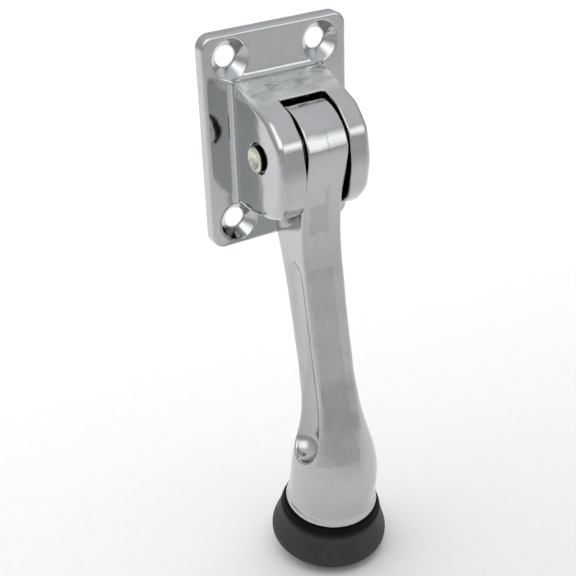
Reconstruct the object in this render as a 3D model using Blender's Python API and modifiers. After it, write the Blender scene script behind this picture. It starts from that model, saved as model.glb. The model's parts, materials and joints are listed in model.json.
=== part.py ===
"""Kick-down floor door holder: a screw-on base, a hinged arm and a rubber foot.

The plate's back face lies in the XZ plane and is fixed to the door. +Z is up, and the
object stands out from the door towards -Y. The origin is the centre of the back face.
Side outlines are written as (out, up): the distance from the door and the height.
"""
import math

import bmesh
import bpy
from mathutils import Matrix, Vector

MM = 0.001
GAP = 0.3 * MM

# Plate: 1-5/8 by 2-1/4 inch, for four No. 10 countersunk wood screws.
PLATE_WIDTH = 41.3 * MM
PLATE_HEIGHT = 57.15 * MM
PLATE_THICKNESS = 3.8 * MM
PLATE_CORNER = 3.6 * MM
PLATE_EDGE = 0.9 * MM
HOLE_OFFSET_X = 12.95 * MM
HOLE_OFFSET_Z = 22.0 * MM
HOLE_RADIUS = 2.75 * MM
COUNTERSINK_RADIUS = 5.25 * MM
COUNTERSINK_ANGLE = math.radians(82)

# Housing: two cheeks and the bridge above the hub, cast in one with the plate.
PIVOT_OUT = 16.0 * MM
HOUSING_HALF = 13.1 * MM
HOUSING_ROUND = 2.0 * MM
SLOT_HALF = 6.75 * MM
SLOT_MIDDLE = 0.55 * MM
SLOT_RADIUS = 12.4 * MM
SLOT_FLOOR = 3.85 * MM
BRIDGE_FRONT = 14.3 * MM
HOUSING_OUTLINE = [
    (1.0, 16.6), (4.6, 16.5), (11.0, 14.7), (20.9, 11.7), (26.4, 6.1), (28.0, -2.5),
    (27.0, -10.4), (23.3, -14.6), (17.2, -16.7), (10.5, -17.2), (4.6, -16.9), (1.0, -16.9),
]
HOUSING_SQUARE = {0, 1, 10, 11}

# Pivot pin and washers: a domed head on the right, and on the left a dimpled collar that
# stands out of a counterbore.
PIN_RADIUS = 2.8 * MM
PIN_COLLAR_RADIUS = 3.4 * MM
PIN_COLLAR_THICKNESS = 1.0 * MM
PIN_END_HEIGHT = 1.2 * MM
PIN_DIMPLE_DEPTH = 0.6 * MM
COUNTERBORE_RADIUS = 4.0 * MM
COUNTERBORE_DEPTH = 3.0 * MM
PIN_HEAD_RADIUS = 5.2 * MM
PIN_HEAD_HEIGHT = 1.5 * MM
WASHER_RADIUS = 7.4 * MM
WASHER_THICKNESS = 0.5 * MM
SPOT_FACE_DEPTH = 0.5 * MM

# Leaf spring and its pocket in the slot floor.
LEAF_HALF_WIDTH = 5.2 * MM
LEAF_HALF_LENGTH = 13.0 * MM
LEAF_THICKNESS = 0.6 * MM
POCKET_FLOOR = 1.6 * MM

# Arm: hub and lever outline, then a loft from a rectangle to the round foot socket. The hub is
# a little narrower than the lever and stands to the right of its middle.
ARM_HALF = 5.9 * MM
ARM_EDGE = 0.8 * MM
HUB_HALF = 5.7 * MM
HUB_MIDDLE = 0.4 * MM
HUB_RADIUS = 11.8 * MM
HUB_START_DEGREES = 194.0
HUB_END_DEGREES = 16.0
KNUCKLE_OUTLINE = [
    (27.3, -0.5), (26.2, -5.0), (25.0, -10.0), (24.3, -16.0), (24.4, -22.0), (24.5, -29.0),
]
HEEL_OUTLINE = [(13.6, -29.0), (11.2, -25.0), (8.4, -17.0), (5.9, -8.5)]
# Lever sections down to the socket: out, up, tilt in degrees, half width, half depth, corner.
LEVER_SECTIONS = [
    (18.4, -27.0, 13.0, 5.9, 6.2, 0.9),
    (19.7, -33.0, 11.0, 5.9, 5.8, 1.0),
    (21.2, -41.0, 10.5, 5.9, 5.5, 1.1),
    (23.3, -52.0, 10.5, 5.9, 5.3, 1.2),
    (25.4, -63.0, 10.0, 6.0, 5.4, 1.5),
    (26.9, -70.0, 13.0, 6.4, 6.1, 2.2),
    (27.7, -75.0, 12.0, 7.6, 7.0, 4.0),
    (28.0, -80.0, 8.0, 9.6, 8.5, 7.0),
    (28.2, -85.0, 3.0, 11.2, 10.1, 9.6),
    (28.6, -90.5, -6.0, 12.1, 11.9, 11.7),
    (27.6, -97.0, -8.0, 12.1, 12.1, 12.0),
    (26.4, -103.3, -8.0, 12.1, 12.1, 12.0),
]
FLUTE_RADIUS = 5.4 * MM
FLUTE_DEPTH = 1.5 * MM
FLUTE_TOP = -27.5
FLUTE_END = -85.5
FOOT_TILT = math.radians(-8.0)
SOCKET_RIM = (26.4, -103.3)

# Rubber foot.
FOOT_HEIGHT = 12.3 * MM
FOOT_RADIUS = 16.4 * MM
FOOT_NECK = 13.6 * MM
FOOT_NECK_HEIGHT = 1.8 * MM
FOOT_STEP = 0.4 * MM
FOOT_EDGE = 1.0 * MM
SPIGOT_RADIUS = 8.8 * MM
SPIGOT_DEPTH = 4.0 * MM
RECESS_RADIUS = 6.6 * MM
RECESS_DEPTH = 5.2 * MM
SCREW_RADIUS = 2.0 * MM
SCREW_LENGTH = 20.0 * MM
SCREW_BORE_DEPTH = 13.0 * MM
SCREW_HEAD_RADIUS = 4.1 * MM
SCREW_HEAD_HEIGHT = 2.4 * MM
SCREW_SLOT_HALF = 0.55 * MM
SCREW_SLOT_DEPTH = 1.2 * MM
SCREW_POINT = 0.8 * MM
FOOT_WASHER_RADIUS = 5.6 * MM
FOOT_WASHER_THICKNESS = 1.0 * MM

# Material looks: base colour, roughness, metallic.
CHROME = ("chrome_plate", (0.55, 0.56, 0.56), 0.12, 1.0)
STEEL = ("zinc_steel", (0.66, 0.65, 0.60), 0.30, 1.0)
SPRING_STEEL = ("spring_steel", (0.35, 0.36, 0.38), 0.35, 1.0)
RUBBER = ("black_rubber", (0.02, 0.022, 0.021), 0.75, 0.0)

# Cutters that pass right through the object reach this far, and others stand this far clear.
REACH = 40.0 * MM
CLEAR = 1.0 * MM
SLOT_STEPS = 18
LEAF_STEPS = 16

# The foot's frame has its Z axis up the foot and its origin at the socket's rim.
SOCKET_CENTRE = Vector((0.0, -SOCKET_RIM[0] * MM, SOCKET_RIM[1] * MM))
FOOT_FRAME = Matrix.Translation(SOCKET_CENTRE) @ Matrix.Rotation(-FOOT_TILT, 4, "X")
# The pin's frame has its Z axis along the pin, to the right, and its origin at the pivot.
PIVOT = Vector((0.0, -PIVOT_OUT, 0.0))
PIN_FRAME = Matrix.Translation(PIVOT) @ Matrix.Rotation(math.radians(90), 4, "Y")


def clear_scene():
    for found in list(bpy.data.objects):
        bpy.data.objects.remove(found, do_unlink=True)


def new_collection(name):
    made = bpy.data.collections.new(name)
    bpy.context.scene.collection.children.link(made)
    return made


def new_material(look):
    name, colour, roughness, metallic = look
    made = bpy.data.materials.new(name)
    made.use_nodes = True
    shader = made.node_tree.nodes["Principled BSDF"]
    shader.inputs["Base Color"].default_value = (*colour, 1.0)
    shader.inputs["Roughness"].default_value = roughness
    shader.inputs["Metallic"].default_value = metallic
    return made


def object_from_bmesh(name, bm, collection):
    """Make an object whose faces point outwards from a finished bmesh."""
    bmesh.ops.recalc_face_normals(bm, faces=bm.faces)
    mesh = bpy.data.meshes.new(name)
    bm.to_mesh(mesh)
    bm.free()
    made = bpy.data.objects.new(name, mesh)
    collection.objects.link(made)
    return made


def finish_part(part, look, sharp_degrees=35):
    part.data.shade_smooth()
    part.data.set_sharp_from_angle(angle=math.radians(sharp_degrees))
    part.data.materials.clear()
    part.data.materials.append(new_material(look))


def hide_cutter(cutter):
    cutter.hide_render = True
    cutter.display_type = "WIRE"


def add_box(name, low, high, collection):
    """A box between two corners, as (x, out, up)."""
    bm = bmesh.new()
    size = Vector((high[0] - low[0], high[1] - low[1], high[2] - low[2]))
    centre = Vector(((low[0] + high[0]) / 2, -(low[1] + high[1]) / 2, (low[2] + high[2]) / 2))
    bmesh.ops.create_cube(bm, size=1.0)
    bmesh.ops.transform(bm, matrix=Matrix.Translation(centre) @ Matrix.Diagonal((*size, 1)), verts=bm.verts)
    return object_from_bmesh(name, bm, collection)


def add_rod(name, radius, length, frame, collection, segments=48):
    """A cylinder centred on a frame, along the frame's Z axis."""
    bm = bmesh.new()
    bmesh.ops.create_cone(
        bm, cap_ends=True, segments=segments, radius1=radius, radius2=radius, depth=length, matrix=frame,
    )
    return object_from_bmesh(name, bm, collection)


def add_turned(name, profile, frame, collection, steps=48):
    """A turned solid: (radius, height) points from the top of the outer side to the bottom.

    A profile that starts or ends off the axis leaves a bore, which its last edge closes.
    """
    bm = bmesh.new()
    corners = [bm.verts.new((radius, 0.0, height)) for radius, height in profile]
    for start, end in zip(corners, corners[1:]):
        bm.edges.new((start, end))
    if profile[0][0] > 0:
        bm.edges.new((corners[-1], corners[0]))
    mesh = bpy.data.meshes.new(name)
    bm.to_mesh(mesh)
    bm.free()
    made = bpy.data.objects.new(name, mesh)
    collection.objects.link(made)
    screw = made.modifiers.new("turn", "SCREW")
    screw.steps = steps
    screw.render_steps = steps
    screw.use_merge_vertices = True
    screw.merge_threshold = 0.00001
    apply_modifiers(made)
    bm = bmesh.new()
    bm.from_mesh(made.data)
    bmesh.ops.recalc_face_normals(bm, faces=bm.faces)
    bm.to_mesh(made.data)
    bm.free()
    made.data.transform(frame)
    return made


def apply_modifiers(target):
    bpy.context.view_layer.update()
    graph = bpy.context.evaluated_depsgraph_get()
    mesh = bpy.data.meshes.new_from_object(target.evaluated_get(graph))
    target.modifiers.clear()
    target.data = mesh


def outline_mesh(points, half_width, square):
    """Extrude a closed (out, up) outline in millimetres along X, with smooth and square points."""
    curve = bpy.data.curves.new("outline", "CURVE")
    curve.dimensions = "2D"
    curve.fill_mode = "BOTH"
    curve.extrude = half_width
    curve.resolution_u = 5
    spline = curve.splines.new("BEZIER")
    spline.bezier_points.add(len(points) - 1)
    spline.use_cyclic_u = True
    for index, (point, (out, up)) in enumerate(zip(spline.bezier_points, points)):
        point.co = (out * MM, up * MM, 0.0)
        kind = "VECTOR" if index in square else "AUTO"
        point.handle_left_type = kind
        point.handle_right_type = kind
    guide = bpy.data.objects.new("outline", curve)
    bpy.context.scene.collection.objects.link(guide)
    bpy.context.view_layer.update()
    graph = bpy.context.evaluated_depsgraph_get()
    mesh = bpy.data.meshes.new_from_object(guide.evaluated_get(graph))
    bpy.data.objects.remove(guide, do_unlink=True)
    mesh.transform(Matrix(((0, 0, -1, 0), (-1, 0, 0, 0), (0, 1, 0, 0), (0, 0, 0, 1))))
    return mesh


def add_outline(name, points, half_width, edge, collection, square=()):
    """A plate of an (out, up) outline with its two rims rounded."""
    bm = bmesh.new()
    bm.from_mesh(outline_mesh(points, half_width, square))
    bmesh.ops.remove_doubles(bm, verts=bm.verts, dist=0.00001)
    bmesh.ops.dissolve_limit(bm, angle_limit=0.001, verts=bm.verts, edges=bm.edges)
    rims = [e for e in bm.edges if abs(e.verts[0].co.x - e.verts[1].co.x) < edge / 10]
    bmesh.ops.bevel(bm, geom=rims, offset=edge, segments=3, profile=0.5, affect="EDGES")
    return object_from_bmesh(name, bm, collection)


def add_sharp_outline(name, points, half_width, collection):
    """A plate of an (out, up) outline whose corners are all square."""
    bm = bmesh.new()
    bm.from_mesh(outline_mesh(points, half_width, set(range(len(points)))))
    bmesh.ops.remove_doubles(bm, verts=bm.verts, dist=0.00001)
    bmesh.ops.dissolve_limit(bm, angle_limit=0.001, verts=bm.verts, edges=bm.edges)
    return object_from_bmesh(name, bm, collection)


def combine(target, other, operation):
    """Boolean one mesh into another and drop the second."""
    step = target.modifiers.new(operation.lower(), "BOOLEAN")
    step.operation = operation
    step.solver = "EXACT"
    step.object = other
    apply_modifiers(target)
    bpy.data.objects.remove(other, do_unlink=True)


def cut(target, cutters):
    """Leave live cuts on the target, with the cutters kept as wires."""
    for cutter in cutters:
        hide_cutter(cutter)
        step = target.modifiers.new(cutter.name, "BOOLEAN")
        step.operation = "DIFFERENCE"
        step.solver = "EXACT"
        step.object = cutter


def arc(centre, radius, start, end, steps):
    """Points on an (out, up) arc in millimetres, from one angle to another in degrees."""
    points = []
    for index in range(steps + 1):
        angle = math.radians(start + (end - start) * index / steps)
        points.append((centre[0] + radius * math.cos(angle), centre[1] + radius * math.sin(angle)))
    return points


def add_plate(collection):
    plate = add_box(
        "base_casting",
        (-PLATE_WIDTH / 2, 0.0, -PLATE_HEIGHT / 2),
        (PLATE_WIDTH / 2, PLATE_THICKNESS, PLATE_HEIGHT / 2),
        collection,
    )
    bm = bmesh.new()
    bm.from_mesh(plate.data)
    corners = [e for e in bm.edges if abs(e.verts[0].co.y - e.verts[1].co.y) > GAP]
    bmesh.ops.bevel(bm, geom=corners, offset=PLATE_CORNER, segments=6, profile=0.5, affect="EDGES")
    front = [e for e in bm.edges if all(v.co.y < -PLATE_THICKNESS + GAP for v in e.verts)]
    bmesh.ops.bevel(bm, geom=front, offset=PLATE_EDGE, segments=3, profile=0.5, affect="EDGES")
    bmesh.ops.recalc_face_normals(bm, faces=bm.faces)
    bm.to_mesh(plate.data)
    bm.free()
    return plate


def screw_hole_cutter(name, x, z, collection):
    """A through hole with its countersink, along the way out of the door."""
    sink_depth = (COUNTERSINK_RADIUS - HOLE_RADIUS) / math.tan(COUNTERSINK_ANGLE / 2)
    top = PLATE_THICKNESS + CLEAR
    flare = COUNTERSINK_RADIUS + CLEAR * math.tan(COUNTERSINK_ANGLE / 2)
    profile = [
        (0.0, top), (flare, top), (HOLE_RADIUS, PLATE_THICKNESS - sink_depth),
        (HOLE_RADIUS, -CLEAR), (0.0, -CLEAR),
    ]
    frame = Matrix.Translation((x, 0.0, z)) @ Matrix.Rotation(math.radians(90), 4, "X")
    return add_turned(name, profile, frame, collection, steps=32)


def slot_outline():
    """The slot from the side: round behind the hub, then straight down and up from it."""
    pivot = PIVOT_OUT / MM
    radius = SLOT_RADIUS / MM
    bridge = BRIDGE_FRONT / MM
    floor = SLOT_FLOOR / MM
    reach = REACH / MM
    start = math.degrees(math.acos((bridge - pivot) / radius))
    end = 360 - math.degrees(math.acos((floor - pivot) / radius))
    points = arc((pivot, 0.0), radius, start, end, SLOT_STEPS)
    return points + [(floor, -reach), (reach, -reach), (reach, reach), (bridge, reach)]


def add_base(parts, cutters):
    base = add_plate(parts)
    housing = add_outline(
        "housing", HOUSING_OUTLINE, HOUSING_HALF, HOUSING_ROUND, parts, square=HOUSING_SQUARE,
    )
    combine(base, housing, "UNION")
    left_face = Matrix.Translation((0.0, 0.0, -HOUSING_HALF))
    slot = add_sharp_outline("slot", slot_outline(), SLOT_HALF, cutters)
    slot.data.transform(Matrix.Translation((SLOT_MIDDLE, 0.0, 0.0)))
    slots = [
        slot,
        add_box(
            "spring_pocket",
            (-LEAF_HALF_WIDTH - 2 * GAP, POCKET_FLOOR, -LEAF_HALF_LENGTH - 2 * GAP),
            (LEAF_HALF_WIDTH + 2 * GAP, SLOT_FLOOR + CLEAR, LEAF_HALF_LENGTH + 2 * GAP),
            cutters,
        ),
        add_rod("pin_bore_base", PIN_RADIUS + GAP, REACH, PIN_FRAME, cutters),
        add_rod("counterbore", COUNTERBORE_RADIUS, 2 * COUNTERBORE_DEPTH, PIN_FRAME @ left_face, cutters),
    ]
    for x_sign in (-1, 1):
        for z_sign in (-1, 1):
            name = f"screw_hole_{x_sign + 1}{z_sign + 1}"
            slots.append(screw_hole_cutter(name, x_sign * HOLE_OFFSET_X, z_sign * HOLE_OFFSET_Z, cutters))
    cut(base, slots)
    finish_part(base, CHROME)
    return base


def rounded_section(half_width, half_depth, corner, steps=5):
    """Points round a rectangle with arc corners, in its own plane."""
    points = []
    for quarter, (sx, sy) in enumerate(((1, 1), (-1, 1), (-1, -1), (1, -1))):
        for index in range(steps + 1):
            angle = math.radians(90 * quarter + 90 * index / steps)
            across = sx * (half_width - corner) + corner * math.cos(angle)
            deep = sy * (half_depth - corner) + corner * math.sin(angle)
            points.append((across, deep))
    return points


def add_loft(name, rings, collection):
    """Skin equal rings of points and cap both ends, for sections that differ in shape."""
    bm = bmesh.new()
    loops = [[bm.verts.new(point) for point in ring] for ring in rings]
    for upper, lower in zip(loops, loops[1:]):
        for index in range(len(upper)):
            after = (index + 1) % len(upper)
            bm.faces.new((upper[index], upper[after], lower[after], lower[index]))
    bm.faces.new(loops[0])
    bm.faces.new(loops[-1])
    return object_from_bmesh(name, bm, collection)


def lever_rings():
    rings = []
    for out, up, tilt, half_width, half_depth, corner in LEVER_SECTIONS:
        frame = Matrix.Translation((0.0, -out * MM, up * MM)) @ Matrix.Rotation(-math.radians(tilt), 4, "X")
        section = rounded_section(half_width * MM, half_depth * MM, corner * MM)
        rings.append([frame @ Vector((across, deep, 0.0)) for across, deep in section])
    return rings


def flute_rings(side):
    """Circles along the lever's side, shrinking to a round end at both ends."""
    middle = [(out, up) for out, up, *_ in LEVER_SECTIONS]
    across = side * (ARM_HALF - FLUTE_DEPTH + FLUTE_RADIUS)
    smallest = 0.02 * FLUTE_RADIUS
    rings = []
    stations = 24
    corners = 28
    for station in range(stations + 1):
        turn = math.pi * station / stations
        up = (FLUTE_TOP + FLUTE_END) / 2 + (FLUTE_TOP - FLUTE_END) / 2 * math.cos(turn)
        out = out_at(middle, up)
        near_end = min(FLUTE_TOP - up, up - FLUTE_END) * MM
        inside = max(FLUTE_RADIUS - near_end, 0.0)
        radius = math.sqrt(max(FLUTE_RADIUS ** 2 - inside ** 2, smallest ** 2))
        ring = []
        for index in range(corners):
            angle = 2 * math.pi * index / corners
            ring.append(Vector((
                across + radius * math.cos(angle), -out * MM + radius * math.sin(angle), up * MM,
            )))
        rings.append(ring)
    return rings


def out_at(points, up):
    """Distance from the door of a line of (out, up) points at a height."""
    for (out_a, up_a), (out_b, up_b) in zip(points, points[1:]):
        if up >= up_b:
            return out_a + (out_b - out_a) * (up - up_a) / (up_b - up_a)
    return points[-1][0]


def add_arm(parts, cutters):
    hub = arc((PIVOT_OUT / MM, 0.0), HUB_RADIUS / MM, HUB_START_DEGREES, HUB_END_DEGREES, 11)
    outline = KNUCKLE_OUTLINE + HEEL_OUTLINE + hub
    corner = len(KNUCKLE_OUTLINE)
    arm = add_outline("arm_casting", outline, HUB_HALF, ARM_EDGE, parts, square={corner - 1, corner})
    arm.data.transform(Matrix.Translation((HUB_MIDDLE, 0.0, 0.0)))
    combine(arm, add_loft("lever", lever_rings(), parts), "UNION")
    across = HUB_HALF - SPOT_FACE_DEPTH / 2 + GAP
    spot = SPOT_FACE_DEPTH + 2 * GAP
    right = PIN_FRAME @ Matrix.Translation((0.0, 0.0, HUB_MIDDLE + across))
    left = PIN_FRAME @ Matrix.Translation((0.0, 0.0, HUB_MIDDLE - across))
    cuts = [
        add_loft("flute_left", flute_rings(-1), cutters),
        add_loft("flute_right", flute_rings(1), cutters),
        add_rod("pin_bore_hub", PIN_RADIUS + GAP, REACH, PIN_FRAME, cutters),
        add_rod("spot_face_right", WASHER_RADIUS + GAP, spot, right, cutters),
        add_rod("spot_face_left", WASHER_RADIUS + GAP, spot, left, cutters),
        add_rod("spigot_socket", SPIGOT_RADIUS + GAP, 2 * (SPIGOT_DEPTH + GAP), FOOT_FRAME, cutters),
        add_rod("screw_bore", SCREW_RADIUS + GAP, 2 * SCREW_BORE_DEPTH, FOOT_FRAME, cutters, segments=24),
    ]
    cut(arm, cuts)
    finish_part(arm, CHROME)
    return arm


def add_pin(parts):
    """The pivot pin, with its dome clear of the right cheek and its end proud of the left one."""
    cheek = HOUSING_HALF + GAP
    end = -HOUSING_HALF - PIN_END_HEIGHT
    dome = [(0.0, 1.0), (0.35, 0.96), (0.62, 0.84), (0.84, 0.62), (0.96, 0.34), (1.0, 0.0)]
    profile = [(PIN_HEAD_RADIUS * f, cheek + PIN_HEAD_HEIGHT * h) for f, h in dome]
    collar = end + PIN_COLLAR_THICKNESS
    profile += [(PIN_RADIUS, cheek), (PIN_RADIUS, collar), (PIN_COLLAR_RADIUS, collar)]
    dimple = [(1.0, 0.4), (0.97, 0.1), (0.88, 0.0), (0.76, 0.05), (0.66, 0.4), (0.45, 0.85), (0.0, 1.0)]
    profile += [(PIN_COLLAR_RADIUS * f, end + PIN_DIMPLE_DEPTH * d) for f, d in dimple]
    pin = add_turned("hinge_pin", profile, PIN_FRAME, parts, steps=36)
    finish_part(pin, STEEL, sharp_degrees=50)
    return pin


def add_washer(name, inner, outer, low, high, frame, look, parts):
    ring = [(outer, high), (outer, low), (inner, low), (inner, high)]
    washer = add_turned(name, ring, frame, parts, steps=36)
    finish_part(washer, look)
    return washer


def add_leaf_spring(parts):
    """A thin arched strip whose ends rest in the pocket and whose crown meets the hub."""
    low = POCKET_FLOOR + GAP
    crown = PIVOT_OUT - HUB_RADIUS - GAP
    rise = crown - low - LEAF_THICKNESS
    bend = (LEAF_HALF_LENGTH ** 2 + rise ** 2) / (2 * rise)
    spread = math.degrees(math.asin(LEAF_HALF_LENGTH / bend))
    centre = ((crown - bend) / MM, 0.0)
    front = arc(centre, bend / MM, -spread, spread, LEAF_STEPS)
    back = arc(centre, (bend - LEAF_THICKNESS) / MM, spread, -spread, LEAF_STEPS)
    leaf = add_sharp_outline("leaf_spring", front + back, LEAF_HALF_WIDTH, parts)
    finish_part(leaf, SPRING_STEEL)
    return leaf


def add_foot(parts):
    """The flared rubber foot with its spigot, screw recess and screw hole."""
    ledge = -GAP
    sole = -FOOT_HEIGHT
    bore = SCREW_RADIUS + 2 * GAP
    top = SPIGOT_DEPTH - GAP
    profile = [(SPIGOT_RADIUS, top), (SPIGOT_RADIUS, ledge), (FOOT_NECK, ledge)]
    profile += [(FOOT_NECK, ledge - FOOT_NECK_HEIGHT)]
    flare_top = (FOOT_NECK + FOOT_STEP, ledge - FOOT_NECK_HEIGHT - FOOT_STEP)
    flare_end = (FOOT_RADIUS, sole + 1.4 * FOOT_EDGE)
    flare_steps = 6
    for index in range(flare_steps + 1):
        along = index / flare_steps
        radius = flare_top[0] + (flare_end[0] - flare_top[0]) * along ** 1.15
        profile.append((radius, flare_top[1] + (flare_end[1] - flare_top[1]) * along))
    turns = 4
    for index in range(1, turns + 1):
        turn = math.radians(90 * index / turns)
        inset = FOOT_EDGE * (1 - math.cos(turn))
        profile.append((FOOT_RADIUS - inset, sole + FOOT_EDGE * (1 - math.sin(turn))))
    profile += [(RECESS_RADIUS, sole), (RECESS_RADIUS, sole + RECESS_DEPTH), (bore, sole + RECESS_DEPTH)]
    profile += [(bore, top)]
    foot = add_turned("rubber_foot", profile, FOOT_FRAME, parts, steps=56)
    finish_part(foot, RUBBER)
    return foot


def add_foot_screw(head_top, parts, cutters):
    """A slotted pan-head screw, head down, along the foot's axis."""
    low = head_top - SCREW_HEAD_HEIGHT
    tip = head_top + SCREW_LENGTH
    profile = [
        (0.0, tip), (SCREW_RADIUS * 0.7, tip), (SCREW_RADIUS, tip - SCREW_POINT), (SCREW_RADIUS, head_top),
        (SCREW_HEAD_RADIUS, head_top), (SCREW_HEAD_RADIUS, low + SCREW_HEAD_HEIGHT * 0.38),
        (SCREW_HEAD_RADIUS * 0.9, low + SCREW_HEAD_HEIGHT * 0.13), (SCREW_HEAD_RADIUS * 0.7, low),
        (0.0, low),
    ]
    screw = add_turned("foot_screw", profile, FOOT_FRAME, parts, steps=32)
    across = SCREW_HEAD_RADIUS + CLEAR
    corner = Vector((across, SCREW_SLOT_HALF, SCREW_SLOT_DEPTH))
    slot = add_box("screw_slot", -corner, corner, cutters)
    slot.data.transform(FOOT_FRAME @ Matrix.Translation((0.0, 0.0, low)))
    cut(screw, [slot])
    finish_part(screw, STEEL)
    return screw


def main():
    clear_scene()
    parts = new_collection("kick_down_door_holder")
    cutters = new_collection("cutters")
    add_base(parts, cutters)
    add_pin(parts)
    near = HUB_HALF - SPOT_FACE_DEPTH + GAP
    far = near + WASHER_THICKNESS
    inner = PIN_RADIUS + GAP
    for name, low, high in (("spacer_washer_right", near, far), ("spacer_washer_left", -far, -near)):
        low += HUB_MIDDLE
        high += HUB_MIDDLE
        add_washer(name, inner, WASHER_RADIUS, low, high, PIN_FRAME, STEEL, parts)
    add_leaf_spring(parts)
    recess_top = RECESS_DEPTH - FOOT_HEIGHT
    washer_top = recess_top - GAP
    washer_base = washer_top - FOOT_WASHER_THICKNESS
    moving = [
        add_arm(parts, cutters),
        add_foot(parts),
        add_washer(
            "foot_washer", SCREW_RADIUS + GAP, FOOT_WASHER_RADIUS, washer_base, washer_top, FOOT_FRAME,
            STEEL, parts,
        ),
        add_foot_screw(washer_base - GAP, parts, cutters),
    ]
    hinge = bpy.data.objects.new("arm_hinge", None)
    hinge.location = PIVOT
    hinge.empty_display_size = 10 * MM
    parts.objects.link(hinge)
    for piece in moving:
        piece.parent = hinge
        piece.matrix_parent_inverse = Matrix.Translation(-PIVOT)


main()
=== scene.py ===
"""Looks of the kick-down door holder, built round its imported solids.

Shapes are worked out in millimetres as (x, out, up): out is the distance from the door,
which is -Y, and up is +Z. A shape is a function that is negative inside the metal. Meshes
are in metres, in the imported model's frame.
"""
import json
import math

import bmesh
import bpy
import numpy as np
from mathutils import Matrix, Vector


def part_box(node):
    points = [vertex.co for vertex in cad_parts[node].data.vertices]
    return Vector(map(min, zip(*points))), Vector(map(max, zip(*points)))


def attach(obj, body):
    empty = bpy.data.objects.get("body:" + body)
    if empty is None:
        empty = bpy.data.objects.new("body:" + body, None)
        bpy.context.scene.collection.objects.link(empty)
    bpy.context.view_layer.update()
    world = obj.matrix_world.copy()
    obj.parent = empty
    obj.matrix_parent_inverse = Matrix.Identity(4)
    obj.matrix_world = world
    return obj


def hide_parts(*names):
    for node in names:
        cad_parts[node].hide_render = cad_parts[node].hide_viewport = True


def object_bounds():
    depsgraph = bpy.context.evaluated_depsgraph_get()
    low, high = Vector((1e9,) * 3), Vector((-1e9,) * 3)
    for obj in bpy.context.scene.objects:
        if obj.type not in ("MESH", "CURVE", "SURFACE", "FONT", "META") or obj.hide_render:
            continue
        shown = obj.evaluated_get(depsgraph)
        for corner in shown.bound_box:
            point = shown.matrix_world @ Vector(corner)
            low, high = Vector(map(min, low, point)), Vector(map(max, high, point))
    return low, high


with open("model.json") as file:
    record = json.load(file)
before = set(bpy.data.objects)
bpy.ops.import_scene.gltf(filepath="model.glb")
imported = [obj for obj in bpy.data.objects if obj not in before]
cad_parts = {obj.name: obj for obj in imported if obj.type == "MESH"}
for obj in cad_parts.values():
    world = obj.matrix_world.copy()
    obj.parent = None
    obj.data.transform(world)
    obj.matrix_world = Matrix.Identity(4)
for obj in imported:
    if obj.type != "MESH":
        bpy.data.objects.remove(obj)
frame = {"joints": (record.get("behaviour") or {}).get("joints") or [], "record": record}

MM = 0.001
cad_low, cad_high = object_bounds()
record = frame["record"]
bodies = {node: body for body, nodes in record["behaviour"]["bodies"].items() for node in nodes}
hinge = frame["joints"][0]["pos_m"]
PIVOT_OUT = -hinge[1] / MM
PIVOT_UP = hinge[2] / MM

# Plate and housing.
PLATE_HALF = (20.65, 28.575)
PLATE_THICKNESS = 3.8
PLATE_CORNER = 3.6
PLATE_EDGE = 0.9
HOLE_OFFSET = (12.95, 22.0)
HOLE_RADIUS = 2.75
COUNTERSINK_RADIUS = 5.25
COUNTERSINK_SLOPE = math.radians(41)
HOUSING_HALF = 13.1
HOUSING_CENTRE = (10.0, 0.0)
HOUSING_OUTLINE = [
    (1.0, 16.6), (4.6, 16.5), (11.0, 14.7), (20.9, 11.7), (26.4, 6.1), (28.0, -2.5),
    (27.0, -10.4), (23.3, -14.6), (17.2, -16.7), (10.5, -17.2), (4.6, -16.9), (1.0, -16.9),
]
HOUSING_FILLET = 1.5
# The round of the slot also clears the knuckle, which passes the bridge when the arm is up.
SLOT_HALF = 6.5
SLOT_MIDDLE = 0.4
SLOT_RADIUS = 13.0
SLOT_FLOOR = 3.85
BRIDGE_FRONT = 14.9
POCKET_FLOOR = 1.6
POCKET_HALF = (5.8, 13.6)
POCKET_TOP = 6
CLEARANCE = 0.3

# Pin, washers and spring.
PIN_RADIUS = 2.8
PIN_COLLAR_RADIUS = 3.4
PIN_END_HEIGHT = 1.2
PIN_HEAD_RADIUS = 5.2
PIN_HEAD_HEIGHT = 1.5
BORE_RADIUS = 3.1
COUNTERBORE_RADIUS = 4.0
COUNTERBORE_DEPTH = 3.0
WASHER_RADIUS = 7.4
WASHER_FACES = (5.5, 6.0)
SPOT_FACE = (5.2, 7.7)
LEAF_HALF = (5.2, 13.0)
LEAF_THICKNESS = 0.6
LEAF_CROWN = 3.9

# Arm. Places down the hub are (up, value).
HUB_RADIUS = 11.95
HUB_MIDDLE = 0.4
HUB_HALF = 5.7
HUB_MIDDLES = [(12.0, HUB_MIDDLE), (-8.0, HUB_MIDDLE), (-22.0, 0.0), (-30.0, 0.0)]
HUB_WIDTHS = [(12.0, HUB_HALF), (-8.0, HUB_HALF)]
HUB_CORNERS = [(12.0, 0.4), (-4.0, 0.4), (-12.0, 0.8)]
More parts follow.
